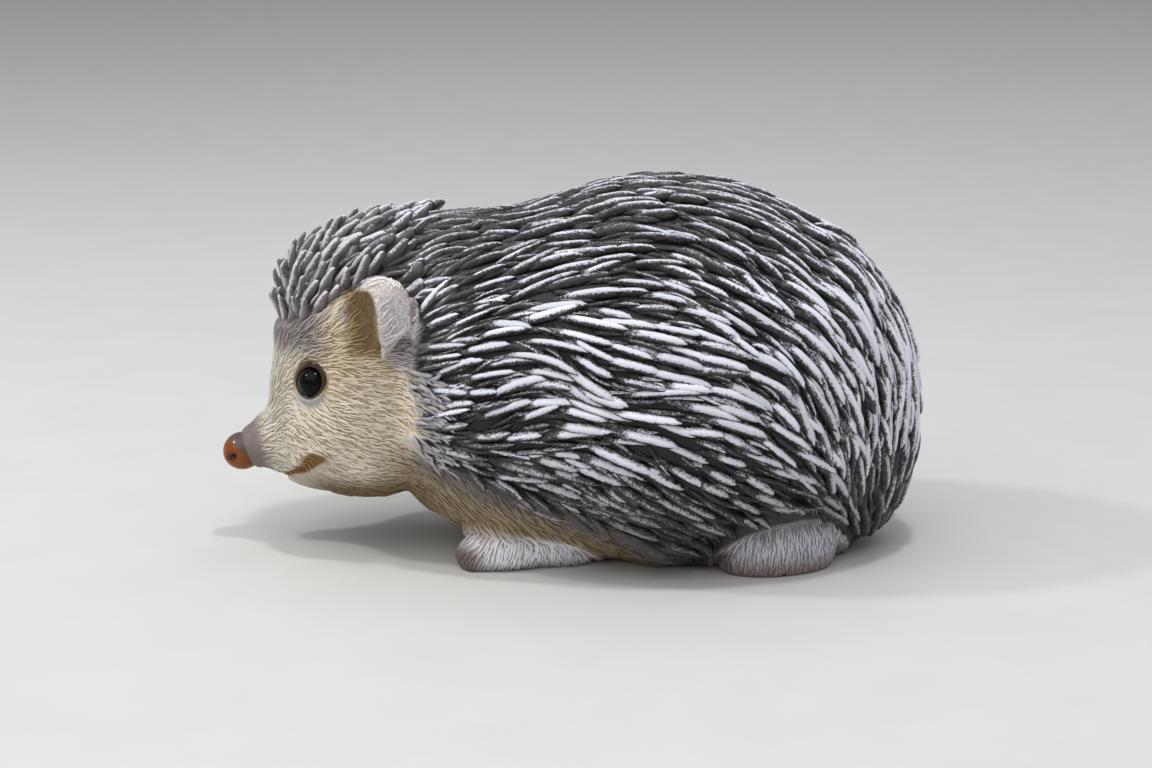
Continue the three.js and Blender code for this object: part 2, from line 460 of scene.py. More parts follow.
def sculpt_eye(points):
    """Sinks the socket round each eye and raises a lid at its edge."""
    distance, height = from_eye(points)
    near = (distance < SOCKET_EDGE) & (height > -5) & (height < 9)
    around = near & (distance > SOCKET_EDGE - 1.2)
    level = height[around].mean()
    ball = np.sqrt(np.maximum(EYE_RADIUS ** 2 - np.minimum(distance, EYE_RADIUS) ** 2, 0))
    lid = LID_HEIGHT * np.exp(-((distance - LID_OUTER) / 0.9) ** 2)
    dish = level - 0.45 + lid
    hidden = ball - 1.2
    target = hidden + (dish - hidden) * ramp(distance, LID_INNER - 0.25, LID_INNER + 0.35)
    share = near * (1 - ramp(distance, LID_OUTER, SOCKET_EDGE))
    axis = np.where(points[:, :1] < 0, EYE_AXIS * (-1, 1, 1), EYE_AXIS)
    return points + axis * ((target - height) * share)[:, None]


def sculpt_mouth(points, normals):
    """Sinks the smile's pocket under a slightly rolled upper lip."""
    depth = in_mouth(points)
    cheek = (np.abs(points[:, 0]) > 1.5) & (depth > -5)
    above = points[:, 2] > lip_height(points)
    cut = MOUTH_DEPTH * ramp(depth, -0.25, 1.1)
    roll = LIP_ROLL * np.exp(-((depth + 0.9) / 0.7) ** 2) * above * (points[:, 1] < -72)
    return points - normals * (cheek * (cut - roll))[:, None]


def raised_back(points):
    """Lifts the top of the skin so that the spines on it reach the photo's outline."""
    places, shifts = [], []
    for y, top in TOP_LINE:
        row = (np.abs(points[:, 0]) < 10) & (np.abs(points[:, 1] - y) < 2.5)
        places.append(y)
        shifts.append(top - TOP_COVER - points[row, 2].max())
    shift = np.interp(points[:, 1], [places[0] - 10] + places + [places[-1] + 10], [0] + shifts + [0])
    points[:, 2] += shift * ramp(points[:, 2], 62, 92)
    return points


def sculpt_muzzle(points, normals):
    """Swells the muzzle into a collar round the nose and steps the chin back from the lip."""
    gap = np.linalg.norm(points - NOSE_CENTRE, axis=1)
    collar = COLLAR_HEIGHT * np.exp(-((gap - COLLAR_PLACE) / 1.7) ** 2)
    points = points + normals * collar[:, None]
    y, z = points[:, 1], points[:, 2]
    ahead = (1 - ramp(y, CHIN_FRONT - 0.4, CHIN_FRONT + 0.3)) * ramp(y, CHIN_FRONT - 9, CHIN_FRONT - 6)
    under_lip = LIP_HEIGHT + 0.12 * (CHIN_FRONT - y)
    points[:, 2] = np.where(z < under_lip, z + (under_lip - z) * ahead, z)
    return points


def skin_mesh():
    """The one skin, with its sockets, lids, mouth, ears and toes, in under the coat."""
    mesh = melted(joined(FLESH, PARTING_CLOSE))
    points = smoothed(mesh_points(mesh), mesh_edges(mesh), np.ones(len(mesh.vertices)), 4)
    nape = ramp(spiny(points), 0, 6) * ramp(points[:, 1], -66, -56) * (1 - ramp(points[:, 1], -32, -16))
    x, y, z = points.T
    neck = np.exp(-((y + 46) / 5) ** 2) * ramp(z, 24, 32) * (1 - ramp(z, 66, 74)) * (np.abs(x) > 15)
    points = smoothed(points, mesh_edges(mesh), np.maximum(nape, neck), NAPE_SMOOTHING, shrink=True)
    mesh.vertices.foreach_set("co", points.ravel())
    for zone in (furry_zone, feature_zone, lid_zone):
        mesh = refined(mesh, zone(mesh_points(mesh)))
        points = mesh_points(mesh)
        points = smoothed(points, mesh_edges(mesh), zone(points) * 1.0, 2)
        if zone is feature_zone:
            points = snap_features(points)
            points = smoothed(points, mesh_edges(mesh), ear_ends(points), EAR_SMOOTHING, shrink=True)
            points = smoothed(points, mesh_edges(mesh), zone(points) * 1.0, 2)
        mesh.vertices.foreach_set("co", points.ravel())
    triangles = mesh_triangles(mesh)
    points = sculpt_eye(points)
    points = sculpt_mouth(points, vertex_normals(points, triangles))
    points = smoothed(points, mesh_edges(mesh), in_mouth(points) > -0.6, 7, shrink=True)
    points = sculpt_muzzle(points, vertex_normals(points, triangles))
    normals = vertex_normals(points, triangles)
    under = spiny(points)
    depth = FUR_DEPTH + (COAT_DEPTH - FUR_DEPTH) * ramp(under, -0.5, 3)
    chest = ramp(points[:, 1], -46, -38) * (1 - ramp(points[:, 1], 14, 24)) * ramp(-under, -1, 0)
    depth += CHEST_STEP * chest * (1 - FOOT_PART.share(points, 1.5, 3.5))
    eye_distance, _ = from_eye(points)
    depth *= ramp(eye_distance, LID_OUTER, SOCKET_EDGE)
    points = raised_back(points - normals * depth[:, None])
    points[:, 2] = np.maximum(points[:, 2], 0)
    mesh.vertices.foreach_set("co", (points * MM).ravel())
    mesh.name = "skin"
    return mesh, Surface(points, triangles)


# ---------------------------------------------------------------- the way the coat lies


def pointing(angle):
    """Backwards and, by so many degrees, downwards."""
    angle = np.radians(angle)
    zero = np.zeros_like(angle)
    return np.column_stack((zero, np.cos(angle), -np.sin(angle)))


def patch(y, z, middle, size):
    """1 at a place of the side view, fading out round it."""
    return np.exp(-((y - middle[0]) / size[0]) ** 2 - ((z - middle[1]) / size[1]) ** 2)


def spine_lie(points):
    """Up over the forehead, level at the nape, down the flank and straight down behind.

    A whorl turns the spines down at the shoulder, and slow waves make them lie in clusters."""
    x, y, z = points.T
    angle = np.interp(y, (-90, -70, -50, -35, -15, 5, 30, 50, 70, 90, 105),
                      (-66, -54, -30, -11, -5, 6, 16, 28, 46, 70, 90))
    low = 1 - ramp(z, 14, 52)
    angle = angle + low * 26 * ramp(y, -48, -20) * (1 - ramp(y, 45, 80))
    angle = angle - 12 * patch(y, z, (-10, 86), (20, 13)) + 36 * patch(y, z, (0, 64), (9, 9))
    waves = 8 * np.sin(y / 9 + z / 12 + x / 23 + 0.6) + 7 * np.sin(z / 7 - y / 17 + x / 31 + 2.1)
    angle = angle + waves * ramp(y, -55, -35) * (1 - 0.6 * ramp(y, 55, 80))
    flow = pointing(angle)
    flow[:, 0] = 0.12 * np.sign(x) * ramp(np.abs(x), 0, 12)
    return flow


def face_lie(points):
    """Back from the nose, over the eyes in arcs, then level and sinking over the cheeks."""
    angle = np.interp(points[:, 2], (20, 30, 42, 54, 62, 68, 74, 82), (14, 20, 21, 14, 2, -12, -38, -52))
    back = 0.9 * ramp(points[:, 1], -90, -75)
    flow = mix(unit(points - NOSE_TIP), pointing(angle), back)
    flow[:, 0] += 0.6 * np.sign(points[:, 0]) * ramp(points[:, 1], -58, -50)
    offset = mirrored(points) - EYE_CENTRE
    distance = np.linalg.norm(offset, axis=1)
    around = unit(offset) * np.where(points[:, :1] < 0, (-1, 1, 1), (1, 1, 1))
    return flow + around * (0.9 * np.exp(-(distance / 8.5) ** 2))[:, None]


def ruff_lie(points):
    """Back over the first spines, fanning down towards the throat."""
    angle = np.interp(points[:, 2], (27, 40, 52, 66), (24, 18, 6, -6))
    flow = pointing(angle + 10 * np.sin(points[:, 2] / 3 + points[:, 1] / 4))
    flow[:, 0] = 0.6 * np.sign(points[:, 0])
    return flow


def chest_lie(points):
    """Down and back from the throat to the forefoot."""
    angle = np.interp(points[:, 1], (-60, -45, -28, -10, 2, 14), (22, 38, 60, 48, 28, 16))
    return pointing(angle + 7 * np.sin(points[:, 1] / 7 + points[:, 2] / 6))


def foot_lie(points):
    """Down over the foot like a skirt, fanning out from above its middle."""
    fore = points[:, 1] < 20
    top_y = np.where(fore, -12, 60)
    spread = np.where(fore, 24, 30)
    lean = (points[:, 1] - top_y) / spread
    out = np.sign(points[:, 0]) * 0.3
    return np.column_stack((out, lean * 0.8, -np.ones(len(points))))


def ear_lie(points):
    """Up the ear's back and over towards its rim."""
    return np.column_stack((0.2 * np.sign(points[:, 0]), np.full(len(points), -0.55),
                            np.full(len(points), 0.8)))


# ---------------------------------------------------------------- scattering and growing tufts


def scatter(surface, wanted, lie, along, across_gap, size, rng, tries):
    """Random roots, none nearer another than a gap that is longer along the coat's lie."""
    a, b, c = (surface.points[surface.triangles[:, k]] for k in range(3))
    area = np.linalg.norm(np.cross(b - a, c - a), axis=1) * wanted(surface.middles)
    area /= size(surface.middles) ** 2
    chosen = rng.choice(len(area), tries, p=area / area.sum())
    u, v = rng.random((2, tries, 1))
    flip = u + v > 1
    u, v = np.where(flip, 1 - u, u), np.where(flip, 1 - v, v)
    spots = a[chosen] + u * (b[chosen] - a[chosen]) + v * (c[chosen] - a[chosen])
    flows = unit(across(lie(spots), surface.face_normals[chosen]))
    sizes = size(spots)
    cells, kept = {}, []
    for i, key in enumerate(map(tuple, np.floor(spots / along).astype(int).tolist())):
        near = [j for dx in (-1, 0, 1) for dy in (-1, 0, 1) for dz in (-1, 0, 1)
                for j in cells.get((key[0] + dx, key[1] + dy, key[2] + dz), ())]
        if near:
            offset = (spots[near] - spots[i]) / sizes[i]
            forward = offset @ flows[i]
            square = np.einsum("ij,ij->i", offset, offset) - forward ** 2
            if np.min((forward / along) ** 2 + square / across_gap ** 2) < 1:
                continue
        cells.setdefault(key, []).append(i)
        kept.append(i)
    return spots[kept]


def spread_out(surface, spots, wanted, lie, along, across_gap, size, rounds):
    """Pushes near neighbours apart until the roots are evenly spaced."""
    for _ in range(rounds):
        spots, normals = surface.settle(spots)
        flows = unit(across(lie(spots), normals))
        scale = size(spots)[:, None]
        offset = spots[None] - spots[:, None]
        forward = np.einsum("ijk,ik->ij", offset, flows)
        square = np.maximum(np.einsum("ijk,ijk->ij", offset, offset) - forward ** 2, 0)
        gap = np.sqrt((forward / along) ** 2 + square / across_gap ** 2) / scale
        np.fill_diagonal(gap, np.inf)
        push = np.clip(RELAX_REACH - gap, 0, None) / np.maximum(gap, 0.2) * RELAX_STEP
        moved = spots - np.einsum("ij,ijk->ik", push, offset)
        stays = wanted(moved)
        spots = np.where(stays[:, None], moved, spots)
    return spots


class Lines:
    """The centre lines of tufts on a surface: places, normals and sides at each station."""

    def __init__(self, surface, roots, lengths, stations, lie, turn, bend, stiff=0.0):
        places, ups = surface.settle(roots)
        first = unit(across(lie(places), ups))
        rows = []
        step = (lengths / (stations - 1))[:, None]
        for station in range(stations):
            way = station / (stations - 1)
            flow = unit(across(mix(unit(lie(places)), first, stiff), ups))
            first = unit(across(first, ups))
            flow = turned(flow, ups, turn + bend * (way - 0.5))
            rows.append((places, ups, np.cross(ups, flow)))
            places, ups = surface.settle(places + flow * step)
        self.places, self.ups, self.sides = (np.stack(part, axis=1) for part in zip(*rows))
        self.way = np.linspace(0, 1, stations)
        self.lengths = lengths
        self.count, self.stations = len(roots), stations


def carried_on(lines, surface):
    """Carries each line straight on from where it has left the mantle, but never into the skin.

    A line that would come down to the ground that way stays on the skin."""
    on_skin = [part.copy() for part in (lines.places, lines.ups, lines.sides)]
    gone = np.zeros(lines.count, bool)
    for i in range(2, lines.stations):
        gone |= spiny(lines.places[:, i]) < HEM_START
        if not gone.any():
            continue
        ahead = 2 * lines.places[gone, i - 1] - lines.places[gone, i - 2]
        ground, normals = surface.settle(ahead)
        sunk = np.maximum(((ground - ahead) * normals).sum(axis=1), 0)
        lines.places[gone, i] = ahead + sunk[:, None] * normals
        lines.ups[gone, i] = lines.ups[gone, i - 1]
        lines.sides[gone, i] = lines.sides[gone, i - 1]
    grounded = lines.places[..., 2].min(axis=1) < HEM_LOWEST
    for part, kept in zip((lines.places, lines.ups, lines.sides), on_skin):
        part[grounded] = kept[grounded]
    return lines


def ring_of(top_points):
    """A tuft's section: how far across each point is, and whether it is on top."""
    top = np.sin(np.linspace(-math.pi / 2, math.pi / 2, top_points))
    hidden = (0.6, -0.6)
    return np.concatenate((top, hidden)), np.arange(top_points + len(hidden)) < top_points


def leaf(way, bulge, tip, start=0.0):
    """A width that swells from nothing to 1, fullest at bulge, and closes; a high tip is blunt."""
    power = math.log(0.5) / math.log(bulge)
    even = 2 * np.clip(start + (1 - start) * way, 0, 1) ** power - 1
    return np.maximum(1 - np.abs(even) ** np.where(even < 0, SOFT_TIP, tip), 0) ** 0.6


class Tufts:
    """Closed ridges along the lines, with what the materials need at each vertex."""

    WAVELENGTH = 5.0         # of the sway from side to side
    RISE = 0.4               # the ridge has its full height this far along
    CREST = 0.62             # a lower power makes a flatter crest

    def __init__(self, lines, widths, heights, lifts, bulge, top_points, rng,
                 wave=0.0, free=0.0, tip=SOFT_TIP):
        n = lines.count
        s, on_top = ring_of(top_points)
        way = lines.way
        free = np.asarray(free).reshape(-1, 1)
        width = widths[:, None] * (0.06 + 0.94 * leaf(way, bulge, tip))
        height = heights[:, None] * (0.2 + 0.8 * ramp(way, 0, self.RISE)) \
            * (0.25 + 0.75 * leaf(way, 0.5, tip, 0.3))
        lift = lifts[:, None] * way ** 1.3
        phase = rng.random((n, 1)) * 2 * math.pi
        sway = wave * np.sin(2 * math.pi * way * lines.lengths[:, None] / self.WAVELENGTH + phase)
        crest = np.maximum(1 - np.abs(s) ** 2.2, 0) ** self.CREST
        loose = free * ramp(way, 0.4, 0.85)
        belly = -ROOT_DEPTH * (1 - loose) + (lift - 0.35 * height) * loose
        edge = lift * (1 - free) * 0.6 * (1 - loose) + lift * loose
        out = np.where(on_top, edge[..., None] + (height + lift - edge)[..., None] * crest,
                       belly[..., None])
        aside = width[..., None] * s + sway[..., None]
        self.points = lines.places[:, :, None] + lines.sides[:, :, None] * aside[..., None] \
            + lines.ups[:, :, None] * out[..., None]
        self.points[..., 2] = np.maximum(self.points[..., 2], 0.02)   # no lower than the ground
        self.lines, self.s, self.on_top, self.crest, self.width = lines, s, on_top, crest, width
        self.rnd = rng.random(n)
        self.pattern = rng.random((n, 3)) * 100

    def vertices(self):
        """All the ridges' ring points, then the middles of their two ends."""
        n, k, m = self.points.shape[:3]
        ends = self.points[:, (0, -1)].mean(axis=2)
        return np.concatenate((self.points.reshape(n, k * m, 3), ends), axis=1)

    def per_vertex(self, values):
        """Values given per tuft, station and ring point, laid out as the vertices are."""
        n, k, m = self.points.shape[:3]
        values = np.broadcast_to(values, (n, k, m) + np.shape(values)[3:])
        ends = values[:, (0, -1)].mean(axis=2)
        return np.concatenate((values.reshape((n, k * m) + values.shape[3:]), ends), axis=1)

    def faces(self):
        """One tuft's triangles as vertex numbers, and their corners on its own patch."""
        k, m = self.points.shape[1:3]
        column = self.columns()
        triangles, corners = [], []

        def spot(i, j):
            return i * m + j % m, (self.lines.way[i], column[j])

        def add(*spots):
            triangles.append([number for number, _ in spots])
            corners.append([corner for _, corner in spots])

        for i in range(k - 1):
            for j in range(m):
                a, b, c, d = spot(i, j), spot(i, j + 1), spot(i + 1, j + 1), spot(i + 1, j)
                add(a, b, c)
                add(a, c, d)
        for j in range(m):
            add(spot(0, j + 1), spot(0, j), (k * m, (-0.04, 0.0)))
            add(spot(k - 1, j), spot(k - 1, j + 1), (k * m + 1, (1.04, 0.0)))
        return np.array(triangles), np.array(corners)

    def columns(self):
        """How far across its patch each ring point lies; the hidden side has a thin strip."""
        top = int(self.on_top.sum())
        hidden = 1 + 0.1 * np.arange(1, len(self.s) - top + 2)
        return np.concatenate((self.s[:top], hidden))

    def patches(self, corners):
        """The OFBake map: each tuft's patch lies where its root is on the unrolled skin."""
        root, ahead = self.lines.places[:, 0], self.lines.places[:, self.lines.stations // 2]
        start, flow = unrolled(root), unrolled(ahead) - unrolled(root)
        side = unrolled(root + self.lines.sides[:, 0] * self.width.max(axis=1)[:, None]) - start
        for part in (flow, side):
            part[:, 0] -= np.round(part[:, 0])   # a patch across the seam goes on past the edge
        return start[:, None, None] + corners[None, ..., :1] * flow[:, None, None] * 1.3 \
            + corners[None, ..., 1:] * side[:, None, None] * 0.85


def unrolled(points):
    """The skin's own unwrap: the angle about the long axis, and the way along it."""
    low, high = np.array(CAD_LOW) / MM, np.array(CAD_HIGH) / MM
    angle = np.arctan2(points[:, 0], UNROLL_CENTRE - points[:, 2])
    along = (points[:, 1] - low[1]) / (high[1] - low[1])
    return np.column_stack((angle / (2 * math.pi) * 0.94 + 0.5, along * 0.94 + 0.03))


def tuft_object(name, tufts, chosen, material, extras):
    """One coat piece out of the chosen tufts, with its attributes and its OFBake map."""
    triangles, corners = tufts.faces()
    vertices = tufts.vertices()[chosen]
    n, size = vertices.shape[:2]
    numbers = (triangles[None] + np.arange(n)[:, None, None] * size).reshape(-1)
    mesh = bpy.data.meshes.new(name)
    mesh.vertices.add(n * size)
    mesh.vertices.foreach_set("co", (vertices * MM).ravel())
    mesh.loops.add(len(numbers))
    mesh.loops.foreach_set("vertex_index", numbers)
    mesh.polygons.add(len(numbers) // 3)
    mesh.polygons.foreach_set("loop_start", np.arange(0, len(numbers), 3))
    mesh.update(calc_edges=True)
    shade_smooth(mesh)
    layer = mesh.uv_layers.new(name="OFBake")
    layer.uv.foreach_set("vector", tufts.patches(corners)[chosen].ravel())
    for label, values in extras.items():
        add_attribute(mesh, label, tufts.per_vertex(values)[chosen].reshape(n * size, -1))
    return add_piece(name, mesh, material)


def add_attribute(mesh, label, values):
    """A number or a colour at every vertex."""
    if values.shape[1] == 1:
        mesh.attributes.new(label, "FLOAT", "POINT").data.foreach_set("value", values.ravel())
    else:
        mesh.attributes.new(label, "FLOAT_VECTOR", "POINT").data.foreach_set("vector", values.ravel())


def add_piece(name, mesh, material):
    piece = placed(name, mesh)
    mesh.materials.append(material)
    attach(piece, "root")
    return piece


# ---------------------------------------------------------------- the paint, as scene-linear colours

UNDER_SPINES = ((0.010, 0.008, 0.008), (0.022, 0.018, 0.018))
CREAM = ((0.32, 0.205, 0.075), (0.75, 0.68, 0.555))
MUZZLE_CREAM = ((0.37, 0.28, 0.175), (0.68, 0.65, 0.585))
OCHRE = ((0.25, 0.135, 0.03), (0.64, 0.525, 0.36))
LILAC_GREY = ((0.085, 0.063, 0.063), (0.29, 0.258, 0.25))
MUZZLE_GREY = ((0.13, 0.10, 0.09), (0.29, 0.24, 0.225))
THROAT = ((0.10, 0.055, 0.016), (0.36, 0.28, 0.175))
# painted shade under the chin and along the throat
CHIN_PAINTED_SHADE = ((0.065, 0.032, 0.009), (0.19, 0.125, 0.055))
JAW = ((0.34, 0.27, 0.19), (0.62, 0.565, 0.48))
RUFF_TIP = ((0.08, 0.068, 0.068), (0.40, 0.38, 0.41))
# painted shade on the low skin above the hind feet, under the mantle
REAR_PAINTED_SHADE = ((0.020, 0.015, 0.013), (0.080, 0.066, 0.062))
# painted shade on the chest, under the overhang of the mantle
CHEST_PAINTED_SHADE = ((0.045, 0.032, 0.022), (0.20, 0.175, 0.16))
FOOT = ((0.27, 0.215, 0.17), (0.86, 0.85, 0.92))
REAR_FOOT = ((0.13, 0.105, 0.095), (0.56, 0.55, 0.61))
# SOLE and REAR_SOLE: painted shade, the feet darkening where they meet the ground
SOLE = ((0.12, 0.085, 0.07), (0.30, 0.25, 0.235))
REAR_SOLE = ((0.10, 0.07, 0.058), (0.27, 0.225, 0.21))
TOE = ((0.07, 0.05, 0.045), (0.17, 0.13, 0.12))
BEHIND_EAR = ((0.16, 0.135, 0.135), (0.50, 0.47, 0.49))
EAR_BACK = ((0.32, 0.27, 0.26), (0.62, 0.59, 0.60))
EAR_INSIDE = ((0.10, 0.05, 0.012), (0.30, 0.20, 0.09))
EAR_RIM = ((0.36, 0.27, 0.18), (0.74, 0.71, 0.71))
# painted shade in the hollow of the socket above each eye
SOCKET = ((0.085, 0.042, 0.02), (0.24, 0.165, 0.085))
UNDER_EYE = ((0.36, 0.34, 0.30), (0.50, 0.48, 0.44))
MOUTH_BROWN = ((0.15, 0.065, 0.012), (0.31, 0.17, 0.055))


def blob(points, centre, sizes):
    """1 at a place on the left side, mirrored on the right, fading out over the sizes."""
    offset = (mirrored(points) - np.array(centre)) / np.array(sizes)
    return np.exp(-np.sum(offset * offset, axis=1))


def ear_rim_gap(points):
    """How far ahead of the plane of an ear's rim each point is."""
    return -54.9 + 0.10 * (84 - points[:, 2]) - points[:, 1]


def ear_hollow(points):
    """How surely each point is in an ear's hollow, ahead of the rim's plane."""
    z = points[:, 2]
    gap = ear_rim_gap(points)
    ahead = ramp(gap, 0.0, 1.2) * (1 - ramp(gap, 8, 13))
    tall = ramp(z, 61, 66) * (1 - ramp(z, 83.0, 84.5))
    return ahead * tall * (np.abs(points[:, 0]) > 24)


def tones(points):
    """The groove's and the ridge's colour of the painted coat at each point, with painted shade under the
    chin, on the chest under the mantle, above the hind feet, at the feet's bottoms and in the eyes' sockets.
    """
    _, y, z = points.T
    under = spiny(points)
    eye, height = from_eye(points)
    offset = mirrored(points) - EYE_CENTRE
    below_lip = lip_height(points) - z
    nose = np.linalg.norm(points - NOSE_CENTRE, axis=1)
    trunk = ramp(y, -60, -46) * (1 - ramp(z, 30, 42))
    feet = foot_share(points)
    fore = y < 20
    toes = feet * (1 - ramp(y, np.where(fore, -30, 44), np.where(fore, -23, 49))) * (1 - ramp(z, 5, 9))
    ears = EAR_PART.share(points)
    rim = ears * np.exp(-((ear_rim_gap(points) - 0.2) / 1.1) ** 2)
    layers = (
        (1 - ramp(y, -88, -76), MUZZLE_CREAM),
        (blob(points, (28, -66, 63), (9, 9, 9)), OCHRE),
        (blob(points, (30, -52, 66), (9, 7, 9)), OCHRE),
        (ramp(z, 57, 67) * (1 - ramp(y, -76, -66)), LILAC_GREY),
        (1 - ramp(nose, 9.5, 15), MUZZLE_GREY),
        (ramp(below_lip, -0.3, 0.4) * (1 - ramp(y, -73, -64)), JAW),
        (trunk, THROAT),
        # painted shade under the chin and along the throat
        ((1 - ramp(z, 21, 28.5)) * ramp(y, -85, -69) * (1 - ramp(y, -47, -36)), CHIN_PAINTED_SHADE),
        # painted shade on the chest, under the overhang of the mantle
        (trunk * ramp(under, -9, -1), CHEST_PAINTED_SHADE),
        # painted shade on the low skin above the hind feet, under the mantle
        (trunk * ramp(y, 28, 38), REAR_PAINTED_SHADE),
        (feet * (1 - 0.7 * ramp(z, 7.5, 11.5)), FOOT),
        # painted shade along the bottom of each foot, by the ground
        (feet * 0.8 * (1 - ramp(z, 0.5, 3.5)), SOLE),
        (feet * ~fore * (1 - 0.5 * ramp(z, 10, 15)), REAR_FOOT),
        # painted shade low on the hind feet, by the ground
        (feet * ~fore * (1 - ramp(z, 1, 8)), REAR_SOLE),
        (toes, TOE),
        (ramp(y, -54, -49) * ramp(z, 57, 63), BEHIND_EAR),
        (ears, EAR_BACK),
        (ear_hollow(points), EAR_INSIDE),
        (np.clip(rim + ears * ramp(z, 82, 84.5), 0, 1), EAR_RIM),
        # painted shade in the hollow of the socket above each eye
        ((eye < 8) * (height > 0) * (1 - ramp(eye, 5.6, 7.5)) * ramp(offset[:, 2], -2.5, 1), SOCKET),
        ((height > 0) * (1 - ramp(eye, 6.2, 8.5)) * (1 - ramp(offset[:, 2], -4, -1.5)), UNDER_EYE),
        (ramp(in_mouth(points), -0.7, 0.3), MOUTH_BROWN),
        (ramp(under, 0, 3) * (1 - ears), UNDER_SPINES),
    )
    groove, ridge = (np.tile(np.array(colour), (len(points), 1)) for colour in CREAM)
    for share, (low, high) in layers:
        groove, ridge = mix(groove, low, share), mix(ridge, high, share)
    return groove, ridge


# ---------------------------------------------------------------- materials


class Nodes:
    """A material's node tree, written as calls."""

    def __init__(self, name):
        self.material = bpy.data.materials.new(name)
        self.material.use_nodes = True
        self.tree = self.material.node_tree
        self.tree.nodes.clear()
        self.shader = self.tree.nodes.new("ShaderNodeBsdfPrincipled")
        output = self.tree.nodes.new("ShaderNodeOutputMaterial")
        self.tree.links.new(self.shader.outputs[0], output.inputs[0])

    def put(self, socket, value):
        if isinstance(value, bpy.types.NodeSocket):
            self.tree.links.new(value, socket)
        else:
            socket.default_value = value

    def add(self, kind, settings=None, **inputs):
        node = self.tree.nodes.new("ShaderNode" + kind)
        for key, value in (settings or {}).items():
            setattr(node, key, value)
        for key, value in inputs.items():
            self.put(node.inputs[key.replace("_", " ")], value)
        return node

    def attribute(self, label, output="Fac"):
        return self.add("Attribute", {"attribute_name": label}).outputs[output]

    def noise(self, vector, scale, detail, roughness=0.55):
        node = self.add("TexNoise", Vector=vector, Scale=scale, Detail=detail, Roughness=roughness)
        return node.outputs["Fac"]

    def math(self, operation, first, second):
        node = self.add("Math", {"operation": operation})
        for socket, value in zip(node.inputs, (first, second)):
            self.put(socket, value)
        return node.outputs[0]

    def swing(self, noise, amount):
        """A noise's swing about its middle, scaled."""
        return self.math("MULTIPLY", self.math("SUBTRACT", noise, 0.5), amount)

    def range(self, value, low, high, to_low=0.0, to_high=1.0):
        node = self.add("MapRange", {"interpolation_type": "SMOOTHSTEP"}, Value=value,
                        From_Min=low, From_Max=high, To_Min=to_low, To_Max=to_high)
        return node.outputs[0]

    def mix(self, share, first, second, blend="MIX"):
        node = self.add("Mix", {"data_type": "RGBA", "blend_type": blend})
        self.put(node.inputs[0], share)
        for socket, value in zip((node.inputs[6], node.inputs[7]), (first, second)):
            self.put(socket, (*value, 1) if isinstance(value, tuple) else value)
        return node.outputs[2]

    def here(self):
        """The place on the object, in metres."""
        return self.add("TexCoord").outputs["Object"]

    def bump(self, height, distance, strength):
        return self.add("Bump", Height=height, Distance=distance, Strength=strength).outputs[0]

    def finish(self, **inputs):
        for key, value in inputs.items():
            self.put(self.shader.inputs[key.replace("_", " ")], value)
        return self.material


def spine_paint():
    """Dark resin with dry-brushed white on the crests, ragged and speckled at its edge."""
    n = Nodes("painted_spines")
    here = n.here()
    strand = n.attribute("strand", "Vector")
    streak = n.noise(strand, 1.0, 4, 0.62)
    speck = n.noise(here, 1500, 4, 0.75)
    rough_edge = n.range(n.attribute("warm"), 0, 1, 2.2, 2.8)
    worn = n.math("ADD", n.swing(streak, 1.3), n.swing(speck, rough_edge))
    amount = n.math("ADD", n.attribute("paint"), worn)
    white_share = n.range(amount, 0.44, 0.56)
    dark = n.mix(n.noise(here, 260, 3), (0.005, 0.004, 0.005), (0.032, 0.026, 0.026))
    dark = n.mix(n.range(streak, 0.48, 0.72, 0, 0.65), dark, (0.118, 0.100, 0.099))
    dark = n.mix(n.attribute("warm"), dark, (0.150, 0.134, 0.135))
    white = n.mix(n.noise(strand, 2.3, 3), n.attribute("shade", "Color"), (1.25, 1.25, 1.28), "MULTIPLY")
    dust = n.mix(n.range(amount, 0.10, 0.50, 0, 0.6), dark, n.attribute("shade", "Color"))
    colour = n.mix(white_share, dust, white)
    rough = n.math("ADD", n.range(white_share, 0, 1, 0.17, 0.52),
                   n.math("MULTIPLY", n.noise(here, 900, 2), 0.16))
    relief = n.math("ADD", n.math("MULTIPLY", streak, 0.9), n.math("MULTIPLY", white_share, 0.25))
    return n.finish(Base_Color=colour, Roughness=rough, Normal=n.bump(relief, 0.0004, 0.9),
                    Specular_IOR_Level=0.5)


def fur_paint():
    """Pale crests over darker grooves, in the colours that the markings say."""
    n = Nodes("painted_fur")
    here = n.here()
    strand = n.attribute("strand", "Vector")
    streak = n.noise(strand, 1.4, 4, 0.6)
    blotch = n.noise(here, 190, 3)
    top = n.math("ADD", n.attribute("crest"), n.swing(streak, 0.9))
    top = n.math("ADD", top, n.swing(blotch, 0.7))
    colour = n.mix(n.range(top, 0.10, 0.60), n.attribute("groove", "Color"),
                   n.attribute("ridge", "Color"))
    rough = n.range(streak, 0.3, 0.7, 0.46, 0.66)
    return n.finish(Base_Color=colour, Roughness=rough, Normal=n.bump(streak, 0.00012, 0.6),
                    Specular_IOR_Level=0.4)


def skin_paint():
    """The resin between the locks, with fine scratched fur and blotched washes of colour."""
    n = Nodes("painted_skin")
    here = n.here()
    grain = n.noise(here, 1500, 4)
    blotch = n.noise(here, 260, 3)
    share = n.math("ADD", n.attribute("pale"), n.swing(grain, 0.9))
    share = n.math("ADD", share, n.swing(blotch, 0.6))
    colour = n.mix(n.range(share, 0, 1), n.attribute("groove", "Color"),
                   n.attribute("ridge", "Color"))
    rough = n.range(grain, 0.3, 0.7, 0.45, 0.68)
    return n.finish(Base_Color=colour, Roughness=rough, Normal=n.bump(grain, 0.0003, 0.8),
                    Specular_IOR_Level=0.4)


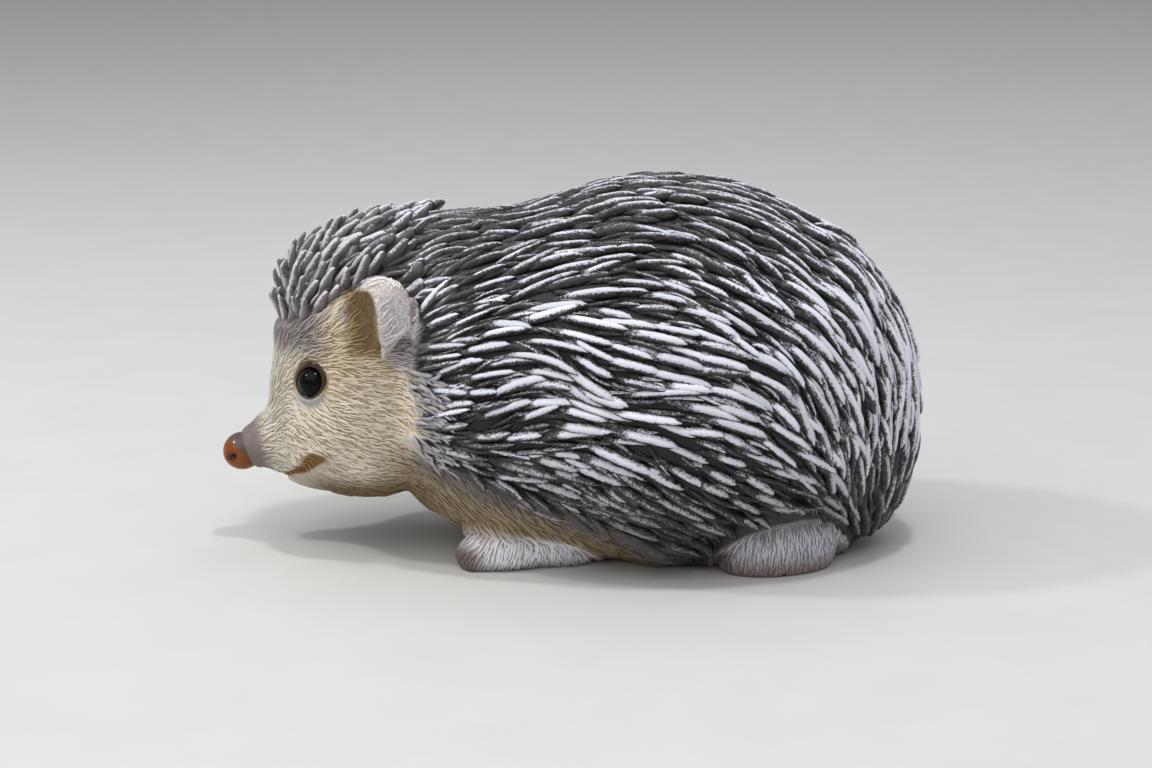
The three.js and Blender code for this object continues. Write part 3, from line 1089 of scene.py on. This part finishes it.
def nose_paint():
    """Glossy orange brown, dark purple brown on top and in the nostrils."""
    n = Nodes("varnished_nose")
    here = n.here()
    blotch = n.noise(here, 420, 3)
    share = n.math("ADD", n.attribute("dark"), n.swing(blotch, 0.5))
    orange = n.mix(n.noise(here, 900, 2), (0.15, 0.036, 0.006), (0.31, 0.090, 0.014))
    colour = n.mix(n.range(share, 0.25, 0.75), orange, (0.105, 0.066, 0.062))
    colour = n.mix(n.attribute("hole"), colour, (0.030, 0.008, 0.004))
    rough = n.math("ADD", n.range(blotch, 0.3, 0.7, 0.09, 0.16), n.range(share, 0.6, 1.0, 0, 0.3))
    return n.finish(Base_Color=colour, Roughness=rough, Normal=n.bump(blotch, 0.0002, 0.3),
                    Specular_IOR_Level=0.3)


def eye_paint():
    """Black gloss with the faintest brown in it."""
    n = Nodes("varnished_eye")
    here = n.here()
    cloud = n.noise(here, 500, 3)
    colour = n.mix(cloud, (0.001, 0.001, 0.001), (0.004, 0.003, 0.003))
    rough = n.range(cloud, 0.3, 0.7, 0.03, 0.06)
    return n.finish(Base_Color=colour, Roughness=rough, Normal=n.bump(cloud, 0.00005, 0.1),
                    Specular_IOR_Level=0.12)


def rim_paint():
    """The eye's rim: glossy dark red brown."""
    n = Nodes("varnished_rim")
    here = n.here()
    cloud = n.noise(here, 900, 3)
    colour = n.mix(cloud, (0.016, 0.005, 0.003), (0.070, 0.023, 0.012))
    rough = n.range(cloud, 0.3, 0.7, 0.10, 0.22)
    return n.finish(Base_Color=colour, Roughness=rough, Normal=n.bump(cloud, 0.00015, 0.3),
                    Specular_IOR_Level=0.35, Coat_Weight=0.2, Coat_Roughness=0.06)


# ---------------------------------------------------------------- the pieces


def jaw_share(points):
    """1 on the smooth jaw under the mouth."""
    return ramp(lip_height(points) - points[:, 2], 0, 1) * (1 - ramp(points[:, 1], -77, -72))


def make_skin():
    mesh, surface = skin_mesh()
    groove, ridge = tones(surface.points)
    smooth_paint = blob(surface.points, (20, -76, 46), (6, 6, 3)) + 0.5 * (spiny(surface.points) > 0) \
        + 0.5 * jaw_share(surface.points)
    pale = 0.42 + 0.5 * np.clip(smooth_paint, 0, 1)
    for label, values in (("groove", groove), ("ridge", ridge), ("pale", pale[:, None])):
        add_attribute(mesh, label, values)
    shade_smooth(mesh)
    piece = add_piece("skin", mesh, skin_paint())
    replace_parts(piece, *FLESH)
    return surface


def strand_pattern(tufts, along_scale, across_scale):
    """Coordinates for streaks: along each tuft, across it, and different on each."""
    along = (tufts.lines.way * tufts.lines.lengths[:, None])[:, :, None] * along_scale
    aside = (tufts.width[:, :, None] * tufts.s) * across_scale
    shape = tufts.points.shape[:3]
    return np.stack((np.broadcast_to(along, shape), aside, np.broadcast_to(aside * 0, shape)),
                    axis=-1) + tufts.pattern[:, None, None]


# Where the spines carry more white paint, or less: how much, the place (y, z), its sizes. The last, with less
# white at the shoulder, is painted shade.
WHITE_AND_SHADE_PATCHES = ((0.46, (-47, 99), (13, 7)), (0.50, (-41, 79), (6, 9)),
                 (-0.36, (-40, 64), (7, 7)), (-0.48, (-25, 45), (13, 10)))


def spine_extras(tufts, shade):
    """Where the white paint sits: on crests that face up, from a quarter of the way on."""
    lines = tufts.lines
    way = lines.way[None, :, None]
    s = tufts.s[None, None, :]
    uphill = lines.sides[..., 2]            # the side's slope, so paint leans to the upper flank
    lean = s - np.clip(uphill, -1, 1)[..., None] * 0.28
    crest = 1 - np.abs(lean) ** 1.7 * 1.6
    start = 0.08 + 0.24 * tufts.rnd[:, None, None]
    along = ramp(way, start, start + 0.16)
    y, z = lines.places[..., 1:2], lines.places[..., 2:]
    # less white low down: partly the dry-brushing from above, partly painted shade where less light falls
    low = 1 - ramp(z, 10, 54)
    dull = (tufts.rnd[:, None, None] < 0.14 + 0.4 * low) * 0.42 \
        + 0.2 * (tufts.pattern[:, :1, None] / 100 - 0.5)
    head = 1 - ramp(y, -68, -44)
    under = spiny(lines.places.reshape(-1, 3)).reshape(low.shape)
    edge = (1 - ramp(under, 0, 13)) * (1 - ramp(y, -40, -22)) * ramp(z, 26, 36)
    rump = ramp(y, 50, 82) * (1 - low)
    hem = (1 - ramp(under, 0, 9)) * low * (y < 30)
    broad = 0.30 * head + 0.20 * rump - 0.54 * low + 0.10 * hem \
        + (0.10 - 0.39 * ramp(z, 74, 94) - 0.3 * ramp(y, -14, -30) * ramp(z, 66, 80)) * (1 - head)
    # the shoulder's patch of less white is painted shade
    for amount, middle, reach in WHITE_AND_SHADE_PATCHES:
        broad = broad + amount * patch(y, z, middle, reach)
    paint = np.where(tufts.on_top, crest, 0) * along * 1.05 - dull + broad
    warm = head + 0.7 * edge + 0.35 * hem + 0.12 * rump + patch(y, z, (-41, 77), (6, 10))
    warm = np.clip(warm, 0, 1) * np.ones_like(paint)
    colour = np.broadcast_to(shade[:, None, None, :], paint.shape + (3,))
    return {"paint": paint[..., None], "warm": warm[..., None], "shade": colour,
            "strand": strand_pattern(tufts, 0.45, 2.6)}


def fur_extras(tufts, tips):
    """The markings' colours along each lock, or its root's, passing into the tips' own."""
    places = tufts.lines.places
    if tips:
        places = np.repeat(places[:, :1] - (0, 3, 0), tufts.lines.stations, axis=1)
    groove, ridge = tones(places.reshape(-1, 3))
    shape = places.shape[:2] + (1, 3)
    full = tufts.points.shape
    groove, ridge = (part.reshape(shape) for part in (groove, ridge))
    if tips:
        share = ramp(tufts.lines.way, 0.1, 0.55)[None, :, None]
        groove, ridge = mix(groove, tips[0], share), mix(ridge, tips[1], share)
    groove, ridge = (np.broadcast_to(part, full) for part in (groove, ridge))
    fade = 0.85 + 0.3 * (tufts.rnd[:, None, None] - 0.5)
    crest = np.broadcast_to(tufts.crest * tufts.on_top, full[:3]) * fade
    return {"groove": groove, "ridge": ridge * (0.9 + 0.2 * tufts.rnd[:, None, None, None]),
            "crest": crest[..., None], "strand": strand_pattern(tufts, 0.5, 1.2)}


def anywhere(points):
    return np.ones(len(points), bool)


def one_size(points):
    return np.ones(len(points))


def kinked(places):
    """Whether each station comes after a sharp turn, as where a line falls over an edge."""
    steps = unit(np.diff(places, axis=1))
    turns = np.sum(steps[:, 1:] * steps[:, :-1], axis=-1) < SHARPEST_TURN
    return np.pad(turns, ((0, 0), (1, 1)))


def grown(surface, kind, wanted, lie, rng, within, size=one_size, rounds=0, stiff=0.0):
    """Scatters roots and traces a line from each, cut short where it leaves a region."""
    roots = scatter(surface, wanted, lie, *kind.gaps, size, rng, kind.tries)
    if rounds:
        roots = spread_out(surface, roots, wanted, lie, *kind.gaps, size, rounds)
    n = len(roots)
    lengths = rng.uniform(*kind.length, n) * size(roots)
    turn, bend = rng.normal(0, math.radians(kind.spread), (2, n))
    lines = Lines(surface, roots, lengths, kind.stations, lie, turn, bend, stiff)
    if within is None:
        return lines
    out = ~within(lines.places.reshape(-1, 3)).reshape(n, kind.stations) | kinked(lines.places)
    reach = np.where(out.any(axis=1), np.argmax(out, axis=1), kind.stations) / kind.stations
    kept = reach > SHORTEST
    return Lines(surface, roots[kept], (lengths * reach)[kept], kind.stations, lie, turn[kept],
                 bend[kept], stiff)


def spines_wanted(points):
    return (spiny(points) > np.where(points[:, 1] < -46, 0.4, 1.2)) & (points[:, 2] > 1.0)


def crown_wanted(points):
    return spines_wanted(points) & (points[:, 1] < CROWN_END)


def back_wanted(points):
    return spines_wanted(points) & (points[:, 1] >= CROWN_END)


def spine_size(points):
    """Spines shrink from the shoulders to the forehead, and along the cheek's edge."""
    cheek = (1 - ramp(spiny(points), 3, 16)) * (1 - ramp(points[:, 1], -38, -20)) * ramp(points[:, 2], 28, 36)
    return (0.74 + 0.26 * ramp(points[:, 1], -84, -48)) * (1 - 0.3 * cheek * (points[:, 1] > CROWN_END))


def spine_shades(points, rng):
    """The white's tint: cool and bright on the back and greyer on the head; darker low down, as painted shade
    where less light falls.
    """
    n = len(points)
    shade = np.tile((0.72, 0.72, 0.78), (n, 1))
    # painted shade: the white darkens low on the body, where less light falls
    shade = mix(shade, (0.24, 0.215, 0.205), 1 - ramp(points[:, 2], 12, 46))
    shade = mix(shade, (0.58, 0.555, 0.585), 1 - ramp(points[:, 1], -72, -44))
    return shade * rng.uniform(0.82, 1.08, (n, 1))


def spines_end(points):
    """Where spines may reach: to the mantle's edge, and a little beyond at the chest and cheek."""
    over = np.where(points[:, 1] > -6, 0.0, np.where(points[:, 1] > -47, -4.0, -0.5))
    return (spiny(points) > over) & ((points[:, 1] < 70) | (points[:, 2] > 6.0))


def fringe_wanted(points):
    """Just inside the mantle's edge over the chest."""
    edge = spiny(points)
    return (edge > 3.4) & (edge < 6.8) & (points[:, 1] > -40) & (points[:, 1] < 14) \
        & (points[:, 2] > 14) & (points[:, 2] < 40)


def fringe_lie(points):
    return unit(spine_lie(points)) - np.array((0, 0, FRINGE_DROP))


def shaped(lines, kind, size, extra_lift, bulge, top_points, rng, **shape):
    """Tufts on the lines, with widths, heights and lifts drawn from the kind's ranges."""
    n = lines.count
    return Tufts(lines, rng.uniform(*kind.half_width, n) * size, rng.uniform(*kind.height, n) * size,
                 rng.uniform(*kind.lift, n) + extra_lift, bulge, top_points, rng, **shape)


def spine_tufts(surface, kind, wanted, tip, rng, lie=spine_lie, within=spines_end):
    """Spines of one kind: evenly spaced, and standing free of the skin at the mantle's hem."""
    lines = grown(surface, kind, wanted, lie, rng, within, spine_size, SPINE_ROUNDS, SPINE_STIFFNESS)
    hem = spiny(lines.places[:, -1])
    lines = carried_on(lines, surface)
    tips = lines.places[:, -1]
    hem = (1 - ramp(hem, 0.5, 6)) * (tips[:, 1] > -46) * (tips[:, 1] < 84) * (tips[:, 2] < 42) \
        * ramp(tips[:, 2], HEM_LOWEST, 10)
    return shaped(lines, kind, spine_size(lines.places[:, 0]), HEM_LIFT * hem, 0.56, 8, rng,
                  free=np.clip(kind.free + hem, 0, 1), tip=tip)


def left_and_right(name, tufts, kept, material, extras):
    """A piece for each side of the body."""
    left = tufts.lines.places[:, 0, 0] > 0
    for side, chosen in (("left", left), ("right", ~left)):
        tuft_object(name + "_" + side, tufts, chosen & kept, material, extras)


def make_spines(surface, rng):
    """The crown's and the back's spines, lower ones between them, and a fringe over the chest."""
    paint = spine_paint()
    crown = spine_tufts(surface, CROWN, crown_wanted, BLUNT_TIP, rng)
    extras = spine_extras(crown, spine_shades(crown.lines.places[:, 0], rng))
    tuft_object("spines_crown", crown, np.ones(crown.lines.count, bool), paint, extras)
    back = spine_tufts(surface, BACK, back_wanted, LEAF_TIP, rng)
    extras = spine_extras(back, spine_shades(back.lines.places[:, 0], rng))
    x, _, z = back.lines.places[:, 5].T
    angle = np.arctan2(x, z - UNROLL_CENTRE)
    for name, chosen in (("spines_back", np.abs(angle) <= BACK_ANGLE),
                         ("spines_left", angle > BACK_ANGLE),
                         ("spines_right", angle < -BACK_ANGLE)):
        tuft_object(name, back, chosen, paint, extras)
    low = grown(surface, UNDER, spines_wanted, spine_lie, rng, spines_end, spine_size)
    under = shaped(low, UNDER, spine_size(low.places[:, 0]), 0, 0.5, 5, rng)
    extras = spine_extras(under, spine_shades(low.places[:, 0], rng))
    extras["paint"] = extras["paint"] - rng.uniform(*UNDER_DULL, low.count)[:, None, None, None]
    kept = (spiny(low.places[:, -1]) > -0.5) | (low.places[:, -1, 2] > 40)
    left_and_right("under_spines", under, kept, paint, extras)
    fringe_rng = np.random.default_rng(SEED + 1)
    fringe = spine_tufts(surface, FRINGE, fringe_wanted, LEAF_TIP, fringe_rng, fringe_lie, None)
    extras = spine_extras(fringe, spine_shades(fringe.lines.places[:, 0], fringe_rng))
    left_and_right("spines_hem", fringe, True, paint, extras)


def face_wanted(points):
    eye, height = from_eye(points)
    nose = np.linalg.norm(points - NOSE_CENTRE, axis=1)
    return (spiny(points) < 0.5) & (points[:, 1] < -44) & (points[:, 2] > 20) \
        & ((eye > 6.1) | (height < 0)) & (nose > 10) & (ear_hollow(points) < 0.85) \
        & (EAR_PART.share(points, 0.3, 0.6) < 0.5) \
        & (in_mouth(points) < -0.5) & (jaw_share(points) < 0.5)


def ruff_wanted(points):
    """The cheek's edge, where cream tufts lap over the dark spines."""
    return (np.abs(spiny(points) - 1.0) < 3.4) & (points[:, 1] > -49) & (points[:, 1] < -36) \
        & (points[:, 2] > 34) & (points[:, 2] < 60) & (np.abs(points[:, 0]) > 20)


def chest_wanted(points):
    return (spiny(points) < 0.5) & (points[:, 1] > -58) & (points[:, 1] < 26) \
        & ((points[:, 2] < 24) | (points[:, 1] > -44)) & (points[:, 2] > 1.5) \
        & (FOOT_PART.share(points) < 0.5)


def foot_share(points, reach=0.9, fade=2.4):
    """How surely each point is on a foot, with the low skin behind the rear ones."""
    heel = ramp(points[:, 1], 70, 74) * (1 - ramp(points[:, 1], 84, 88)) * (1 - ramp(points[:, 2], 9, 13))
    return np.maximum(FOOT_PART.share(points, reach, fade), heel * (spiny(points) < 0.5))


def feet_wanted(points):
    return (foot_share(points, 0.9, 1.8) > 0.5) & (points[:, 2] > 0.8) & (points[:, 2] < 20)


def ears_wanted(points):
    return EAR_PART.share(points) > 0.5


def make_fur(surface, rng):
    """Each coat of locks: its kind, where, its lie, its wave, its slot and its tips' colours."""
    paint = fur_paint()
    coats = (
        ("fur_face", FACE, face_wanted, face_lie, 0.20, "fur", None),
        ("fur_ruff", RUFF, ruff_wanted, ruff_lie, 0.12, "fur", RUFF_TIP),
        ("fur_chest", CHEST, chest_wanted, chest_lie, 0.14, "fur", None),
        ("fur_feet", FOOT_FUR, feet_wanted, foot_lie, 0.08, "feet", None),
        ("fur_ears", EAR_FUR, ears_wanted, ear_lie, 0.08, "fur", None),
    )
    for name, kind, wanted, lie, wave, slot, tips in coats:
        lines = grown(surface, kind, wanted, lie, rng, anywhere)
        tufts = shaped(lines, kind, 1, 0, 0.5, 5, rng, wave=wave, free=kind.free)
        left_and_right(name, tufts, True, paint, fur_extras(tufts, tips))


def ball_mesh(name, rings, segments):
    """A unit ball, shaded smooth."""
    mesh = bpy.data.meshes.new(name)
    shape = bmesh.new()
    bmesh.ops.create_uvsphere(shape, u_segments=segments, v_segments=rings, radius=1)
    shape.to_mesh(mesh)
    shape.free()
    shade_smooth(mesh)
    return mesh


def make_nose():
    """The nose: a rounded pad with a cleft in front and a comma of a nostril each side."""
    mesh = ball_mesh("nose", 96, 128)
    ball = mesh_points(mesh)
    points = ball * NOSE_RADII
    half = mirrored(ball)
    nostril = unit(np.array((0.88, -0.36, -0.10)))
    slit = unit(np.array((0.80, -0.62, -0.22)))
    hole = 1.5 * np.exp(-(np.linalg.norm(half - nostril, axis=1) / 0.22) ** 2)
    tail = 0.7 * np.exp(-(np.linalg.norm(half - slit, axis=1) / 0.20) ** 2)
    wing = 0.35 * np.exp(-(np.linalg.norm(half - unit(nostril + (0, -0.5, 0)), axis=1) / 0.3) ** 2)
    cleft = 0.28 * np.exp(-(ball[:, 0] / 0.09) ** 2) * ramp(-ball[:, 1], 0.1, 0.6) \
        * (1 - ramp(ball[:, 2], 0.2, 0.7))
    points = points - ball * (hole + tail - wing + cleft)[:, None] + NOSE_CENTRE
    dark = 0.95 * ramp(0.85 * ball[:, 2] + 0.62 * ball[:, 1], -0.02, 0.5)
    mesh.vertices.foreach_set("co", (points * MM).ravel())
    add_attribute(mesh, "dark", dark[:, None])
    add_attribute(mesh, "hole", np.clip(0.8 * hole + 1.1 * tail - 0.1, 0, 1)[:, None])
    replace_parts(add_piece("nose_pad", mesh, nose_paint()), "nose")


def eye_frame(side):
    """The eye's axis and two directions square to it: up and towards the ear."""
    axis = EYE_AXIS * (side, 1, 1)
    up = unit(across(np.array((0, 0, 1.0)), axis))
    back = np.cross(axis, up)
    return axis, up, back if back[1] > 0 else -back


def make_eye(name, side, paint, rim):
    """A ball with a slight bulge where it looks out, in a rim thickest above and behind."""
    axis, up, back = eye_frame(side)
    centre = EYE_CENTRE * (side, 1, 1)
    mesh = ball_mesh(name, 48, 64)
    ball = mesh_points(mesh)
    bulge = 1 + 0.02 * np.exp(-np.sum((ball - axis) ** 2, axis=1) / 0.18)
    mesh.vertices.foreach_set("co", ((ball * EYE_RADIUS * bulge[:, None] + centre) * MM).ravel())
    eye = add_piece(name + "_ball", mesh, paint)
    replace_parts(eye, name)
    make_rim(name + "_rim", centre, axis, up, back, rim)


def make_rim(name, centre, axis, up, back, paint):
    """A soft ring of varnished lid lying on the ball."""
    turns, ring = 96, 16
    round_eye = np.linspace(0, 2 * math.pi, turns, endpoint=False)
    thick = 0.24 + 0.80 * np.clip(np.cos(round_eye - math.radians(48)), 0, 1) ** 1.1
    middle = RIM_INNER + thick
    height = np.sqrt(EYE_RADIUS ** 2 - RIM_INNER ** 2) + 0.36 - 0.42 * (thick - 0.42)
    section = np.linspace(0, 2 * math.pi, ring, endpoint=False)
    out = unit(np.cos(round_eye)[:, None] * up + np.sin(round_eye)[:, None] * back)
    spots = centre + out[:, None] * (middle[:, None] + thick[:, None] * np.cos(section))[..., None] \
        + axis * (height[:, None] + 0.62 * thick[:, None] * np.sin(section))[..., None]
    i, j = np.meshgrid(np.arange(turns), np.arange(ring), indexing="ij")
    next_i, next_j = (i + 1) % turns, (j + 1) % ring
    corners = ((i, j), (next_i, j), (next_i, next_j), (i, next_j))
    faces = np.stack([turn * ring + spot for turn, spot in corners], axis=-1)
    mesh = bpy.data.meshes.new(name)
    mesh.from_pydata((spots.reshape(-1, 3) * MM).tolist(), [], faces.reshape(-1, 4).tolist())
    shape = bmesh.new()
    shape.from_mesh(mesh)
    bmesh.ops.recalc_face_normals(shape, faces=shape.faces)
    shape.to_mesh(mesh)
    shape.free()
    shade_smooth(mesh)
    add_piece(name, mesh, paint)


# ---------------------------------------------------------------- stage, lights and camera

LENS = 70.0
SENSOR = 36.0
CAMERA_PLACE = Vector((0.65575, 0.00135, 0.19947))
CAMERA_AIM = Vector((0.0, 0.00135, 0.04807))


def make_floor():
    mesh = bpy.data.meshes.new("floor")
    half = 3.0
    mesh.from_pydata([(-half, -half, 0), (half, -half, 0), (half, half, 0), (-half, half, 0)],
                     [], [(0, 1, 2, 3)])
    n = Nodes("pale_floor")
    grain = n.noise(n.here(), 30, 3)
    colour = n.mix(grain, (0.60, 0.59, 0.57), (0.66, 0.65, 0.63))
    mesh.materials.append(n.finish(Base_Color=colour, Roughness=0.7))
    floor = placed("floor", mesh)


def make_lamp(name, place, size, watts, colour=(1, 1, 1)):
    lamp = bpy.data.lights.new(name, "AREA")
    lamp.shape = "RECTANGLE"
    lamp.size, lamp.size_y = size
    lamp.energy = watts
    lamp.color = colour
    holder = placed(name, lamp)
    holder.location = place
    aim = Vector((0, 0, 0.05)) - Vector(place)
    holder.rotation_euler = aim.to_track_quat("-Z", "Y").to_euler()


def make_light():
    world = bpy.data.worlds.new("studio")
    world.use_nodes = True
    world.node_tree.nodes["Background"].inputs["Color"].default_value = (0.93, 0.96, 1.0, 1)
    world.node_tree.nodes["Background"].inputs["Strength"].default_value = 0.42
    bpy.context.scene.world = world
    make_lamp("window", (0.75, -0.45, 1.15), (1.6, 1.2), 8, (1.0, 0.99, 0.97))
    make_lamp("overhead", (-0.3, 0.35, 2.0), (2.6, 2.6), 13, (0.84, 0.92, 1.0))
    for pane, place in (("pane_near", (0.08, -0.89, 0.93)), ("pane_far", (0.26, 0.11, 1.22))):
        make_lamp(pane, place, (0.10, 0.10), 4)


def make_camera():
    lens = bpy.data.cameras.new("camera")
    lens.lens, lens.sensor_width = LENS, SENSOR
    camera = placed("camera", lens)
    camera.location = CAMERA_PLACE
    camera.rotation_euler = (CAMERA_AIM - CAMERA_PLACE).to_track_quat("-Z", "Y").to_euler()
    bpy.context.scene.camera = camera


def main():
    rng = np.random.default_rng(SEED)
    make_camera()
    make_light()
    make_floor()
    surface = make_skin()
    make_spines(surface, rng)
    make_fur(surface, rng)
    make_nose()
    eye, rim = eye_paint(), rim_paint()
    for name, side in (("eye_left", 1), ("eye_right", -1)):
        make_eye(name, side, eye, rim)
    bpy.context.scene.view_settings.view_transform = "Standard"


main()
